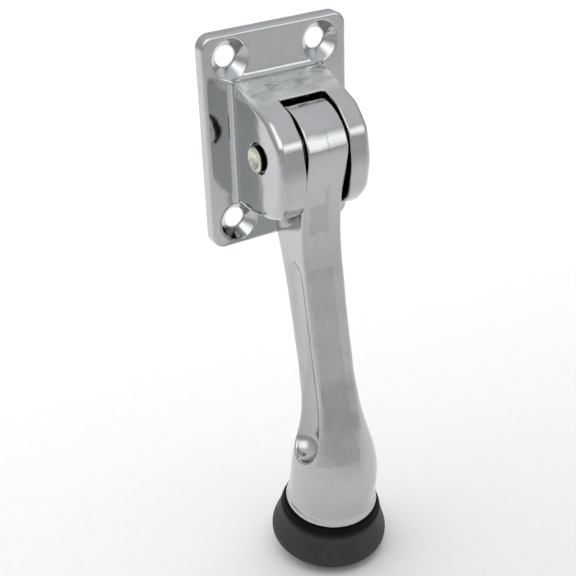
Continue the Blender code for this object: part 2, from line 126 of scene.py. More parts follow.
# Sections down the lever: out, up, tilt in degrees, half width, half depth, corner.
LEVER_SECTIONS = [
    (18.4, -27.0, 13.0, 5.9, 6.2, 0.9), (19.7, -33.0, 11.0, 5.9, 5.8, 1.0),
    (21.2, -41.0, 10.5, 5.9, 5.5, 1.1), (23.3, -52.0, 10.5, 5.9, 5.3, 1.2),
    (25.4, -63.0, 10.0, 6.0, 5.4, 1.5), (26.9, -70.0, 13.0, 6.4, 6.1, 2.2),
    (27.7, -75.0, 12.0, 7.6, 7.0, 4.0), (28.0, -80.0, 8.0, 9.6, 8.5, 7.0),
    (28.2, -85.0, 3.0, 11.2, 10.1, 9.6), (28.6, -90.5, -6.0, 12.1, 11.9, 11.7),
    (27.6, -97.0, -8.0, 12.1, 12.1, 12.0), (26.4, -103.3, -8.0, 12.1, 12.1, 12.0),
]
KNUCKLE_FRONT = [(12.0, 30.4), (-0.5, 27.3), (-5.0, 26.2), (-10.0, 25.0), (-16.0, 24.3), (-21.0, 24.3)]
HEEL_BACK = [(-3.0, 4.4), (-8.5, 5.9), (-17.0, 8.4), (-22.0, 10.2)]
FLUTE_RADIUS = 5.4
FLUTE_SIDE = 9.8
FLUTE_ENDS = (-27.5, -85.5)

# Foot: its axis leans towards the door going down, from the centre of the metal socket's rim.
FOOT_TILT = math.radians(-8.0)
RIM = (26.4, -103.3)
RIM_BEAD_AT = 12.0
RIM_BEAD_RADIUS = 0.6
SPIGOT_RADIUS = 8.8
SPIGOT_DEPTH = 4.0
FOOT_HEIGHT = 12.3
FOOT_RADIUS = 16.4
FOOT_NECK = 13.6
RECESS_RADIUS = 6.6
RECESS_DEPTH = 5.2
SCREW_RADIUS = 2.0
SCREW_BORE_DEPTH = 13
SCREW_LENGTH = 19.9
SCREW_HEAD_RADIUS = 4.1
SCREW_HEAD_HEIGHT = 2.4
FOOT_WASHER_RADIUS = 5.6
FOOT_WASHER_THICKNESS = 1.0
FOOT_FRAME = (
    Matrix.Translation((0.0, -RIM[0] * MM, RIM[1] * MM)) @ Matrix.Rotation(-FOOT_TILT, 4, "X")
)
PIN_FRAME = Matrix.Translation(hinge) @ Matrix.Rotation(math.radians(90), 4, "Y")


# ---- Shape functions ----

def join_round(a, b, radius):
    """Union of two shapes with a fillet where they meet."""
    corner = np.hypot(np.maximum(radius - a, 0), np.maximum(radius - b, 0))
    return np.maximum(np.minimum(a, b), radius) - corner


def meet_round(a, b, radius):
    """Intersection of two shapes with a rounded edge."""
    corner = np.hypot(np.maximum(radius + a, 0), np.maximum(radius + b, 0))
    return np.minimum(np.maximum(a, b), -radius) + corner


def smooth_line(points, blur):
    """A function through (place, value) points, with its corners blurred over some millimetres."""
    places, values = zip(*sorted(points))
    step = 0.1
    grid = np.arange(places[0] - 6 * blur, places[-1] + 6 * blur, step)
    before = values[0] + (grid - places[0]) * (values[1] - values[0]) / (places[1] - places[0])
    after = values[-1] + (grid - places[-1]) * (values[-1] - values[-2]) / (places[-1] - places[-2])
    line = np.interp(grid, places, values)
    line = np.where(grid < places[0], before, np.where(grid > places[-1], after, line))
    reach = np.arange(-3 * blur, 3 * blur + step, step)
    kernel = np.exp(-0.5 * (reach / blur) ** 2)
    smooth = np.convolve(line, kernel / kernel.sum(), "same")
    return lambda place: np.interp(place, grid, smooth)


def section_line(pick):
    """Values picked from the lever's sections, against height."""
    return [pick(*section) for section in LEVER_SECTIONS]


def front_point(out, up, tilt, half_width, half_depth, corner):
    turn = math.radians(tilt)
    return up + half_depth * math.sin(turn), out + half_depth * math.cos(turn)


def back_point(out, up, tilt, half_width, half_depth, corner):
    turn = math.radians(tilt)
    return up - half_depth * math.sin(turn), out - half_depth * math.cos(turn)


arm_front = smooth_line(KNUCKLE_FRONT + section_line(front_point), 2.0)
arm_back = smooth_line(HEEL_BACK + section_line(back_point), 2.0)
arm_middle = smooth_line(HUB_MIDDLES, 1.6)
arm_width = smooth_line(HUB_WIDTHS + section_line(lambda *s: (s[1], s[3])), 1.6)
arm_corner = smooth_line(HUB_CORNERS + section_line(lambda *s: (s[1], s[5])), 1.6)
lever_middle = smooth_line([(12.0, 9.2)] + section_line(lambda *s: (s[1], s[0])), 2.0)


def polar_outline(points, centre, blur_degrees=4.0):
    """Radius against angle of an outline that can be seen whole from its centre."""
    closed = points + points[:1]
    dense = []
    for start, end in zip(closed, closed[1:]):
        for share in np.arange(0, 1, 0.05):
            dense.append([a + (b - a) * share - c for a, b, c in zip(start, end, centre)])
    dense = np.array(dense)
    angles = np.degrees(np.arctan2(dense[:, 1], dense[:, 0]))
    radii = np.hypot(dense[:, 0], dense[:, 1])
    order = np.argsort(angles)
    step = 0.5
    grid = np.arange(-180, 180, step)
    ring = np.interp(grid, angles[order], radii[order], period=360)
    reach = np.arange(-3 * blur_degrees, 3 * blur_degrees + step, step)
    kernel = np.exp(-0.5 * (reach / blur_degrees) ** 2)
    wide = np.concatenate([ring, ring, ring])
    smooth = np.convolve(wide, kernel / kernel.sum(), "same")[len(ring):2 * len(ring)]
    return lambda angle: np.interp(angle, grid, smooth, period=360)


housing_radius = polar_outline(HOUSING_OUTLINE, HOUSING_CENTRE)


def housing_side(out, up):
    """The housing's side outline."""
    across = out - HOUSING_CENTRE[0]
    rise = up - HOUSING_CENTRE[1]
    radius = np.hypot(across, rise)
    angle = np.degrees(np.arctan2(rise, across))
    wanted = housing_radius(angle)
    lean = (housing_radius(angle + 1) - housing_radius(angle - 1)) / math.radians(2) / np.maximum(wanted, 1)
    return (radius - wanted) / np.sqrt(1 + lean ** 2)


def ripple(x, out, up, size):
    """The low swells that polishing leaves on a casting."""
    swell = np.sin(0.61 * up + 0.9 * np.sin(0.37 * x) + 0.4)
    swell = swell + np.sin(0.47 * x - 0.53 * out + 0.31 * up + 1.7)
    swell = swell + 0.7 * np.sin(0.83 * out + 0.71 * np.sin(0.29 * up) + 0.9 * x)
    return size * swell


def from_pivot(out, up):
    return np.hypot(out - PIVOT_OUT, up - PIVOT_UP)


def base_shape(x, out, up):
    wide = np.abs(x)
    tall = np.abs(up)
    corner_x = wide - (PLATE_HALF[0] - PLATE_CORNER)
    corner_up = tall - (PLATE_HALF[1] - PLATE_CORNER)
    rim = np.hypot(np.maximum(corner_x, 0), np.maximum(corner_up, 0)) - PLATE_CORNER
    rim = rim + np.minimum(np.maximum(corner_x, corner_up), 0)
    plate = meet_round(rim, out - PLATE_THICKNESS, PLATE_EDGE)
    edge = 0.8 + np.clip((out - 9) / 9, 0, 1) * 1.1 + np.clip((2 - up) / 14, 0, 1) * 1.1
    housing = meet_round(housing_side(out, up), wide - HOUSING_HALF, edge)
    body = join_round(plate, housing, HOUSING_FILLET) + ripple(x, out, up, 0.012)
    slot_round = np.maximum(from_pivot(out, up) - SLOT_RADIUS, SLOT_FLOOR - out)
    slot_below = np.maximum(SLOT_FLOOR - out, up)
    slot_above = np.maximum(BRIDGE_FRONT - out, -1 - up)
    slot_side = np.minimum(slot_round, np.minimum(slot_below, slot_above))
    slot = meet_round(slot_side, np.abs(x - SLOT_MIDDLE) - SLOT_HALF, 0.5)
    body = meet_round(body, -slot, 0.2 + np.clip((out - 15) / 4, 0, 1) * 0.25)
    pocket_sides = np.maximum(wide - POCKET_HALF[0], tall - POCKET_HALF[1])
    pocket = np.maximum(pocket_sides, np.maximum(POCKET_FLOOR - out, out - POCKET_TOP))
    body = np.maximum(body, -pocket)
    reach = from_pivot(out, up)
    body = meet_round(body, BORE_RADIUS - reach, 0.25)
    counterbore = np.maximum(reach - COUNTERBORE_RADIUS, x + HOUSING_HALF - COUNTERBORE_DEPTH)
    body = meet_round(body, -counterbore, 0.2)
    for side_x in (-1, 1):
        for side_up in (-1, 1):
            reach = np.hypot(x - side_x * HOLE_OFFSET[0], up - side_up * HOLE_OFFSET[1])
            flare = COUNTERSINK_RADIUS + (out - PLATE_THICKNESS) * math.tan(COUNTERSINK_SLOPE)
            flare = np.clip(flare, HOLE_RADIUS, COUNTERSINK_RADIUS + 0.1)
            body = meet_round(body, (flare - reach) * math.cos(COUNTERSINK_SLOPE), 0.3)
    return meet_round(body, -out, 0.3)


def arm_side(out, up):
    """The arm's side outline, from hub to socket."""
    hub = from_pivot(out, up) - HUB_RADIUS
    below = np.maximum(arm_back(up) - out, up + 2.9)
    whole = join_round(hub, below, 0.6)
    return meet_round(whole, out - arm_front(up), 0.8)


def foot_depth(out, up):
    """Distance past the socket's rim, along the foot's axis."""
    return (out - RIM[0]) * math.sin(FOOT_TILT) - (up - RIM[1]) * math.cos(FOOT_TILT)


def arm_shape(x, out, up):
    wide = np.abs(x)
    body = meet_round(arm_side(out, up), np.abs(x - arm_middle(up)) - arm_width(up), arm_corner(up))
    body = body + ripple(x, out, up, 0.02)
    middle = (FLUTE_ENDS[0] + FLUTE_ENDS[1]) / 2
    straight = (FLUTE_ENDS[0] - FLUTE_ENDS[1]) / 2 - FLUTE_RADIUS
    past_end = np.maximum(np.abs(up - middle) - straight, 0)
    across = np.hypot(wide - FLUTE_SIDE, out - lever_middle(up))
    flute = np.hypot(across, past_end) - FLUTE_RADIUS
    body = meet_round(body, -flute, 0.7)
    depth = foot_depth(out, up)
    axial = (out - RIM[0]) * math.cos(FOOT_TILT) + (up - RIM[1]) * math.sin(FOOT_TILT)
    from_axis = np.hypot(x, axial)
    body = meet_round(body, depth, 0.4)
    bead = np.hypot(from_axis - RIM_BEAD_AT, depth + RIM_BEAD_RADIUS) - RIM_BEAD_RADIUS
    body = join_round(body, bead, 1.5)
    socket = np.maximum(from_axis - SPIGOT_RADIUS - CLEARANCE, -depth - SPIGOT_DEPTH - CLEARANCE)
    body = np.maximum(body, -socket)
    screw_bore = np.maximum(from_axis - SCREW_RADIUS - CLEARANCE, -depth - SCREW_BORE_DEPTH)
    body = np.maximum(body, -screw_bore)
    body = meet_round(body, BORE_RADIUS - from_pivot(out, up), 0.3)
    spot = np.maximum(SPOT_FACE[0] - np.abs(x - HUB_MIDDLE), from_pivot(out, up) - SPOT_FACE[1])
    return np.maximum(body, -spot)


# ---- Meshing of shape functions ----

def pull(points, shape, step):
    """Move points onto the surface and give the surface's slope there."""
    nudge = step / 3
    slope = np.empty_like(points)
    for axis in range(3):
        shift = np.zeros(3)
        shift[axis] = nudge
        slope[:, axis] = (shape(*(points + shift).T) - shape(*(points - shift).T)) / (2 * nudge)
    steep = np.maximum((slope ** 2).sum(axis=1), 0.25)
    move = np.clip(shape(*points.T) / steep, -step / 2, step / 2)
    return points - move[:, None] * slope, slope


def net_points(values, cells):
    """For each cell that the surface passes, the average of where it crosses the cell's edges."""
    total = np.zeros((len(cells), 3))
    count = np.zeros(len(cells))
    for axis in range(3):
        along = np.eye(3, dtype=int)[axis]
        side_a, side_b = np.eye(3, dtype=int)[[(axis + 1) % 3, (axis + 2) % 3]]
        for offset in (0 * side_a, side_a, side_b, side_a + side_b):
            start = values[tuple((cells + offset).T)]
            end = values[tuple((cells + offset + along).T)]
            crossed = (start < 0) != (end < 0)
            share = np.where(crossed, start / np.where(crossed, start - end, 1), 0)
            total += crossed[:, None] * (offset + share[:, None] * along)
            count += crossed
    return cells + total / count[:, None]


def net_faces(inside, index):
    """A quad round each grid edge that the surface crosses, facing out."""
    faces = []
    for axis in range(3):
        size = inside.shape[axis]
        lower = inside.take(range(size - 1), axis)
        upper = inside.take(range(1, size), axis)
        crossing = np.argwhere(lower != upper)
        side_a, side_b = np.eye(3, dtype=int)[[(axis + 1) % 3, (axis + 2) % 3]]
        corners = (crossing - side_a - side_b, crossing - side_b, crossing, crossing - side_a)
        quads = np.stack([index[tuple(corner.T)] for corner in corners], axis=1)
        outward = lower[tuple(crossing.T)]
        faces.append(np.where(outward[:, None], quads[:, ::-1], quads))
    return np.concatenate(faces)


def relax(points, faces):
    """Each point's average with its neighbours, to even out the net."""
    total = np.zeros_like(points)
    count = np.zeros(len(points))
    for turn in (1, 3):
        near = np.roll(faces, turn, axis=1)
        for axis in range(3):
            total[:, axis] += np.bincount(faces.ravel(), points[near.ravel(), axis], len(points))
        count += np.bincount(faces.ravel(), minlength=len(points))
    return (points + total / count[:, None]) / 2


def skin(name, shape, low, high, step):
    """Mesh a shape function inside a box, as an even net of quads on its surface."""
    axes = [np.arange(a - 2 * step, b + 3 * step, step) for a, b in zip(low, high)]
    values = shape(*np.meshgrid(*axes, indexing="ij", sparse=True))
    inside = values < 0
    count = sum(
        inside[i:i + values.shape[0] - 1, j:j + values.shape[1] - 1, k:k + values.shape[2] - 1].astype(int)
        for i in (0, 1) for j in (0, 1) for k in (0, 1)
    )
    mixed = (count > 0) & (count < 8)
    cells = np.argwhere(mixed)
    index = np.full(mixed.shape, -1)
    index[mixed] = np.arange(len(cells))
    origin = np.array([axis[0] for axis in axes])
    points = origin + net_points(values, cells) * step
    faces = net_faces(inside, index)
    for _ in range(4):
        points, slope = pull(relax(points, faces), shape, step)
    for _ in range(3):
        points, slope = pull(points, shape, step)
    flip = np.array([1, -1, 1])
    mesh = bpy.data.meshes.new(name)
    mesh.from_pydata((points * flip * MM).tolist(), [], faces.tolist())
    mesh.validate()
    mesh.shade_smooth()
    normals = slope * flip / np.maximum(np.linalg.norm(slope, axis=1), 1e-9)[:, None]
    mesh.normals_split_custom_set_from_vertices(normals.tolist())
    made = bpy.data.objects.new(name, mesh)
    bpy.context.scene.collection.objects.link(made)
    return made


# ---- Turned and bent pieces ----

def turned(name, profile, place, steps=96):
    """A closed (radius, height) profile turned about the place's Z axis, in millimetres."""
    bm = bmesh.new()
    rings = []
    for radius, height in profile:
        if radius == 0:
            rings.append([bm.verts.new((0, 0, height * MM))])
            continue
        ring = []
        for index in range(steps):
            angle = 2 * math.pi * index / steps
            x = radius * math.cos(angle) * MM
            y = radius * math.sin(angle) * MM
            ring.append(bm.verts.new((x, y, height * MM)))
        rings.append(ring)
    pairs = list(zip(rings, rings[1:]))
    if profile[0][0] > 0:
        pairs.append((rings[-1], rings[0]))
    for upper, lower in pairs:
        for index in range(steps):
            after = (index + 1) % steps
            corners = [upper[index % len(upper)], upper[after % len(upper)]]
            corners += [lower[after % len(lower)], lower[index % len(lower)]]
            bm.faces.new(list(dict.fromkeys(corners)))
    bmesh.ops.recalc_face_normals(bm, faces=bm.faces)
    bmesh.ops.transform(bm, matrix=place, verts=bm.verts)
    return from_bmesh(name, bm)


def from_bmesh(name, bm, sharp_degrees=40):
    mesh = bpy.data.meshes.new(name)
    bm.to_mesh(mesh)
    bm.free()
    mesh.shade_smooth()
    mesh.set_sharp_from_angle(angle=math.radians(sharp_degrees))
    made = bpy.data.objects.new(name, mesh)
    bpy.context.scene.collection.objects.link(made)
    return made


def rounded_profile(corners, radius, steps=4):
    """A profile whose inner corners are each replaced by a short curve."""
    made = [corners[0]]
    for before, corner, after in zip(corners, corners[1:], corners[2:]):
        corner_v = Vector(corner)
        into = Vector(before) - corner_v
        outof = Vector(after) - corner_v
        reach = min(radius, into.length * 0.45, outof.length * 0.45)
        start = corner_v + into.normalized() * reach
        end = corner_v + outof.normalized() * reach
        for index in range(steps + 1):
            share = index / steps
            made.append(tuple(start.lerp(corner_v, share).lerp(corner_v.lerp(end, share), share)))
    return made + [corners[-1]]


# ---- Materials ----

def add(tree, kind, inputs=(), **settings):
    """A shader node with its settings, its input values and its input links."""
    made = tree.nodes.new("ShaderNode" + kind)
    for key, value in settings.items():
        setattr(made, key, value)
    for key, value in dict(inputs).items():
        if isinstance(value, bpy.types.NodeSocket):
            tree.links.new(value, made.inputs[key])
        else:
            made.inputs[key].default_value = value
    return made


def noise(tree, place, scale, detail=3.0, roughness=0.5):
    inputs = {"Vector": place, "Scale": scale, "Detail": detail, "Roughness": roughness}
    return add(tree, "TexNoise", inputs).outputs["Fac"]


def ramp(tree, value, low, high, to_low=0.0, to_high=1.0):
    """Map a value's range onto another, with smooth ends."""
    inputs = {"Value": value, "From Min": low, "From Max": high, "To Min": to_low, "To Max": to_high}
    return add(tree, "MapRange", inputs, interpolation_type="SMOOTHSTEP").outputs["Result"]


def calc(tree, operation, first, second=0.5, third=0.0):
    return add(tree, "Math", {0: first, 1: second, 2: third}, operation=operation).outputs["Value"]


def mix_colour(tree, share, first, second):
    inputs = {"Factor": share, "A": first, "B": second}
    made = add(tree, "Mix", data_type="RGBA")
    for key, value in inputs.items():
        socket = made.inputs[{"Factor": 0, "A": 6, "B": 7}[key]]
        if isinstance(value, bpy.types.NodeSocket):
            tree.links.new(value, socket)
        else:
            socket.default_value = value
    return made.outputs[2]


def bump(tree, height, distance, normal=None):
    inputs = {"Height": height, "Distance": distance, "Strength": 1.0}
    if normal is not None:
        inputs["Normal"] = normal
    return add(tree, "Bump", inputs).outputs["Normal"]


def stretched(tree, place, scale):
    return add(tree, "Mapping", {"Vector": place, "Scale": scale}).outputs["Vector"]


def start_material(name):
    made = bpy.data.materials.new(name)
    made.use_nodes = True
    tree = made.node_tree
    shader = tree.nodes["Principled BSDF"]
    place = add(tree, "TexCoord").outputs["Object"]
    return made, tree, shader, place


def feed(tree, shader, name, value):
    if isinstance(value, bpy.types.NodeSocket):
        tree.links.new(value, shader.inputs[name])
    else:
        shader.inputs[name].default_value = value


def bridge_top(tree, place, fade_end):
    """The strip on top of the housing by the plate, the mask for the painted reflection there."""
    parts = add(tree, "SeparateXYZ", {"Vector": place})
    out = calc(tree, "MULTIPLY", parts.outputs["Y"], -1.0)
    start = ramp(tree, out, 0.0048, 0.0060)
    end = ramp(tree, out, 0.0085, fade_end, 1.0, 0.0)
    mask = calc(tree, "MULTIPLY", start, end)
    return calc(tree, "MULTIPLY", mask, ramp(tree, parts.outputs["Z"], 0.0122, 0.0132))


def corner_painted_dark_reflection(tree, place):
    """Painted dark reflection, in streaks, in the strip by the plate."""
    streaks = noise(tree, stretched(tree, place, (190, 420, 420)), 1.0, 5, 0.65)
    return calc(tree, "MULTIPLY", ramp(tree, streaks, 0.56, 0.66, 0.0, 1.6), bridge_top(tree, place, 0.0115))


def corner_painted_pale_reflection(tree, place):
    """Painted pale reflection in the strip by the plate, between the painted dark streaks."""
    grain = noise(tree, stretched(tree, place, (240, 500, 500)), 1.0, 5, 0.7)
    return calc(tree, "MULTIPLY", ramp(tree, grain, 0.30, 0.55, 0.5, 1.0), bridge_top(tree, place, 0.0175))


CHROME_COLOUR = (0.53, 0.54, 0.545, 1.0)
# Darker plating colour, used for random tarnish and for painted dark reflection.
CHROME_TARNISH_AND_PAINTED_REFLECTION = (0.28, 0.29, 0.285, 1.0)
# Near-white colour of the painted pale reflection in the strip by the plate.
CHROME_PAINTED_PALE_REFLECTION = (0.93, 0.94, 0.93, 1.0)


def chrome(name, painted_reflection_patch, pale_painted_reflection=None):
    """Polished plating over a buffed casting: swells, orange peel, buffing lines and haze, with painted
    reflection from the patches passed in.
    """
    made, tree, shader, place = start_material(name)
    haze = noise(tree, place, 55, 5, 0.6)
    specks = noise(tree, place, 700, 3, 0.6)
    lines = noise(tree, stretched(tree, place, (2600, 2600, 90)), 1.0, 2)
    swells = noise(tree, place, 120, 2, 0.4)
    peel = noise(tree, place, 620, 2, 0.5)
    tarnish = ramp(tree, haze, 0.42, 0.72, 0.0, 0.22)
    pits = ramp(tree, specks, 0.70, 0.78, 0.0, 0.35)
    mottle = ramp(tree, noise(tree, place, 950, 4, 0.7), 0.35, 0.70, 0.0, 0.16)
    tarnish_and_painted_reflection = calc(tree, "ADD", calc(tree, "ADD", tarnish, pits), mottle)
    # Painted reflection: the patch passed in darkens the colour where a dark reflection would fall.
    tarnish_and_painted_reflection = calc(tree, "ADD", tarnish_and_painted_reflection, painted_reflection_patch(tree, place))
    tarnish_and_painted_reflection = calc(tree, "MINIMUM", tarnish_and_painted_reflection, 1.6)
    bright = CHROME_COLOUR
    rough = ramp(tree, tarnish_and_painted_reflection, 0.0, 1.6, 0.09, 0.40)
    if pale_painted_reflection is not None:
        # Painted reflection: the pale patch passed in lightens the colour towards near-white.
        pale = pale_painted_reflection(tree, place)
        bright = mix_colour(tree, pale, CHROME_COLOUR, CHROME_PAINTED_PALE_REFLECTION)
        rough = calc(tree, "MULTIPLY_ADD", pale, 0.2, rough)
    colour = mix_colour(tree, calc(tree, "MULTIPLY", tarnish_and_painted_reflection, 0.6), bright, CHROME_TARNISH_AND_PAINTED_REFLECTION)
    rough = calc(tree, "ADD", rough, ramp(tree, lines, 0.3, 0.8, 0.0, 0.03))
    normal = bump(tree, swells, 0.00012)
    normal = bump(tree, peel, 0.000008, normal)
    normal = bump(tree, lines, 0.0000025, normal)
    feed(tree, shader, "Base Color", colour)
    feed(tree, shader, "Metallic", 1.0)
    feed(tree, shader, "Roughness", rough)
    feed(tree, shader, "Normal", normal)
    return made


# Patches of painted dark reflection on the front of the lever, as low and high ends, left side and right
# side.
PAINTED_REFLECTION_PATCHES = [(-19.8, -12.8, -3.4, 1.4), (-13.5, -8.3, 0.9, 1.5), (-84.0, -30.5, -4.5, 1.9)]


def arm_painted_reflection_and_joint(tree, place):
    """Painted dark reflection in patches on the lever's front, and the hair-thin joint line of the mould."""
    wander = noise(tree, place, 420, 5, 0.65)
    drift = calc(tree, "MULTIPLY", calc(tree, "SUBTRACT", wander, 0.5), 0.0028)
    parts = add(tree, "SeparateXYZ", {"Vector": place})
    across = calc(tree, "ADD", parts.outputs["X"], drift)
    up = calc(tree, "ADD", parts.outputs["Z"], calc(tree, "MULTIPLY", drift, 1.4))
    out = calc(tree, "MULTIPLY", parts.outputs["Y"], -1.0)
    widening = ramp(tree, up, -0.086, -0.058, 4.6 * MM, 0.0)
    total = None
    for low, high, left, right in PAINTED_REFLECTION_PATCHES:
        from_left = calc(tree, "ADD", across, widening)
        inside = ramp(tree, from_left, left * MM - 0.0003, left * MM + 0.0003)
        inside = calc(tree, "MULTIPLY", inside, ramp(tree, across, right * MM, right * MM + 0.0007, 1.0, 0.0))
        inside = calc(tree, "MULTIPLY", inside, ramp(tree, up, low * MM - 0.0006, low * MM))
        inside = calc(tree, "MULTIPLY", inside, ramp(tree, up, high * MM, high * MM + 0.0006, 1.0, 0.0))
        total = inside if total is None else calc(tree, "MAXIMUM", total, inside)
    # Painted reflection: the patches darken the lever's front, darkest along their edges.
    edge = calc(tree, "MULTIPLY", total, calc(tree, "SUBTRACT", 1.0, total))
    patch = calc(tree, "ADD", calc(tree, "MULTIPLY", total, 0.40), edge)
    patch = calc(tree, "MULTIPLY", patch, ramp(tree, out, 0.0215, 0.0235))
    joint = calc(tree, "SUBTRACT", parts.outputs["X"], calc(tree, "MULTIPLY_ADD", drift, 0.3, 0.0005))
    joint = ramp(tree, calc(tree, "ABSOLUTE", joint), 0.00007, 0.00020, 0.9, 0.0)
    joint = calc(tree, "MULTIPLY", joint, ramp(tree, up, 0.0015, 0.0035))
    joint = calc(tree, "MULTIPLY", joint, ramp(tree, up, 0.0055, 0.0085, 1.0, 0.1))
    return calc(tree, "MAXIMUM", patch, joint)


def from_pin_axis(tree, parts):
    """Distance from the pin's axis, from a node that gives a place's parts."""
    out = calc(tree, "ADD", parts.outputs["Y"], -hinge[1])
    flat = add(tree, "CombineXYZ", {"X": out, "Y": parts.outputs["Z"]})
    return add(tree, "VectorMath", {0: flat.outputs["Vector"]}, operation="LENGTH").outputs["Value"]


def steel(name, colour, dark, rough, ring_scale=0.0, painted_shade_part=None):
    """Drawn or turned steel with a fine grain, stains and, on turned ends, tool rings; a part passed in gets
    painted shade in near-black.
    """
    made, tree, shader, place = start_material(name)
    stains = noise(tree, place, 240, 4, 0.65)
    grain = noise(tree, stretched(tree, place, (300, 3000, 3000)), 1.0, 3)
    shade = mix_colour(tree, ramp(tree, stains, 0.35, 0.75), colour, dark)
    if painted_shade_part is not None:
        # Painted shade: the part passed in is coloured near-black.
        shade = mix_colour(tree, painted_shade_part(tree, place), shade, (0.02, 0.02, 0.018, 1))
    feed(tree, shader, "Base Color", shade)
    feed(tree, shader, "Metallic", 1.0)
    feed(tree, shader, "Roughness", ramp(tree, stains, 0.2, 0.8, rough - 0.07, rough + 0.12))
    normal = bump(tree, grain, 0.000005)
    if ring_scale:
        radius = from_pin_axis(tree, add(tree, "SeparateXYZ", {"Vector": place}))
        rings = calc(tree, "SINE", calc(tree, "MULTIPLY", radius, ring_scale))
        normal = bump(tree, rings, 0.000004, normal)
    feed(tree, shader, "Normal", normal)
    return made


def rubber(name):
    """Moulded black rubber, a little greyed, with a fine grain and dust in its hollows, and painted shade on
    the neck under the metal rim.
    """
    made, tree, shader, place = start_material(name)
    cloud = noise(tree, place, 150, 5, 0.6)
    grain = noise(tree, place, 2600, 3, 0.6)
    dust = ramp(tree, noise(tree, place, 900, 4, 0.7), 0.60, 0.74, 0.0, 0.4)
    base = mix_colour(tree, ramp(tree, cloud, 0.3, 0.75), (0.013, 0.016, 0.0155, 1), (0.028, 0.033, 0.032, 1))
    base = mix_colour(tree, dust, base, (0.055, 0.058, 0.056, 1))
    axis = FOOT_FRAME.col[2].xyz
    height = add(tree, "VectorMath", {0: place, 1: axis}, operation="DOT_PRODUCT").outputs["Value"]
    rim = FOOT_FRAME.translation.dot(axis)
    # Painted shade: the neck just under the metal rim is coloured near-black and given less sheen.
    neck = ramp(tree, height, rim - 4.4 * MM, rim - 1.3 * MM)
    feed(tree, shader, "Base Color", mix_colour(tree, neck, base, (0.003, 0.003, 0.003, 1)))
    feed(tree, shader, "Specular IOR Level", ramp(tree, neck, 0.0, 1.0, 0.44, 0.08))
    feed(tree, shader, "Roughness", ramp(tree, cloud, 0.25, 0.8, 0.52, 0.72))
    normal = bump(tree, cloud, 0.00008)
    normal = bump(tree, grain, 0.000012, normal)
    feed(tree, shader, "Normal", normal)
    return made


def floor_paper(name):
    made, tree, shader, place = start_material(name)
    fibre = noise(tree, place, 400, 3)
    feed(tree, shader, "Base Color", mix_colour(tree, fibre, (0.70, 0.70, 0.70, 1), (0.74, 0.74, 0.74, 1)))
    feed(tree, shader, "Roughness", 0.9)
    shader.inputs["Specular IOR Level"].default_value = 0.1
    return made


# ---- Pieces ----

def stand_for(piece, node, material):
    """Give a piece its material and its body, and hide the node that it stands for."""
    piece.data.materials.clear()
    piece.data.materials.append(material)
    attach(piece, bodies[node])
    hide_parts(node)


def shape_box(node):
    """A node's box as (x, out, up) corners in millimetres."""
    low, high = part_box(node)
    return (low.x / MM, -high.y / MM, low.z / MM), (high.x / MM, -low.y / MM, high.z / MM)


def make_castings():
    step = 0.36
    base = skin("base_body", base_shape, *shape_box("base_casting"), step)
    stand_for(base, "base_casting", chrome("chrome_base", corner_painted_dark_reflection, corner_painted_pale_reflection))
    arm = skin("arm_body", arm_shape, *shape_box("arm_casting"), step)
    stand_for(arm, "arm_casting", chrome("chrome_arm", arm_painted_reflection_and_joint))


def pin_flank_painted_shade(tree, place):
    """Painted shade: the side of the pin's left end, below its ground face, coloured near-black."""
    parts = add(tree, "SeparateXYZ", {"Vector": place})
    face = -HOUSING_HALF - PIN_END_HEIGHT
    below_face = ramp(tree, parts.outputs["X"], (face + 0.22) * MM, (face + 0.36) * MM)
    outside = ramp(tree, from_pin_axis(tree, parts), 2.6 * MM, 2.7 * MM)
    flank = calc(tree, "MULTIPLY", below_face, calc(tree, "LESS_THAN", parts.outputs["X"], 0.0))
    return calc(tree, "MULTIPLY", flank, outside)


def make_pin():
    cheek = HOUSING_HALF + CLEARANCE
    end = -HOUSING_HALF - PIN_END_HEIGHT
    dome = [(0.0, PIN_HEAD_HEIGHT)]
    for index in range(1, 9):
        turn = math.radians(90 * index / 8)
        dome.append((PIN_HEAD_RADIUS * math.sin(turn), PIN_HEAD_HEIGHT * math.cos(turn)))
    profile = [(radius, cheek + height) for radius, height in dome]
    ends = [(PIN_HEAD_RADIUS, cheek), (PIN_RADIUS, cheek), (PIN_RADIUS, end + 1.0)]
    ends += [(PIN_COLLAR_RADIUS, end + 1.0), (PIN_COLLAR_RADIUS, end + 0.3)]
    ends += [(PIN_COLLAR_RADIUS - 0.35, end), (2.4, end)]
    ends += [(2.1, end + 0.35), (1.6, end + 0.7), (0.9, end + 0.95), (0.0, end + 1.05)]
    profile += rounded_profile(ends, 0.3)[1:]
    pin = turned("pin_body", profile, PIN_FRAME)
    bright, stain = (0.80, 0.78, 0.68, 1), (0.50, 0.50, 0.44, 1)
    material = steel("pin_steel", bright, stain, 0.34, ring_scale=18000, painted_shade_part=pin_flank_painted_shade)
    stand_for(pin, "hinge_pin", material)


def ring_profile(inner, outer, low, high, edge):
    """A washer's profile, closed in the middle of its lower face."""
    middle = ((inner + outer) / 2, low)
    closed = [middle, (outer, low), (outer, high), (inner, high), (inner, low), middle]
    return rounded_profile(closed, edge, 2)[:-1]


def make_washers():
    material = steel("washer_steel", (0.60, 0.61, 0.62, 1), (0.38, 0.39, 0.40, 1), 0.28)
    for node, sign in (("spacer_washer_left", -1), ("spacer_washer_right", 1)):
        faces = sorted(HUB_MIDDLE + sign * face for face in WASHER_FACES)
        ring = ring_profile(BORE_RADIUS, WASHER_RADIUS, faces[0], faces[1], 0.1)
        stand_for(turned(node + "_ring", ring, PIN_FRAME), node, material)
    top = RECESS_DEPTH - FOOT_HEIGHT - CLEARANCE
    low = top - FOOT_WASHER_THICKNESS
    ring = ring_profile(SCREW_RADIUS + CLEARANCE, FOOT_WASHER_RADIUS, low, top, 0.2)
    stand_for(turned("foot_washer_ring", ring, FOOT_FRAME, 64), "foot_washer", material)


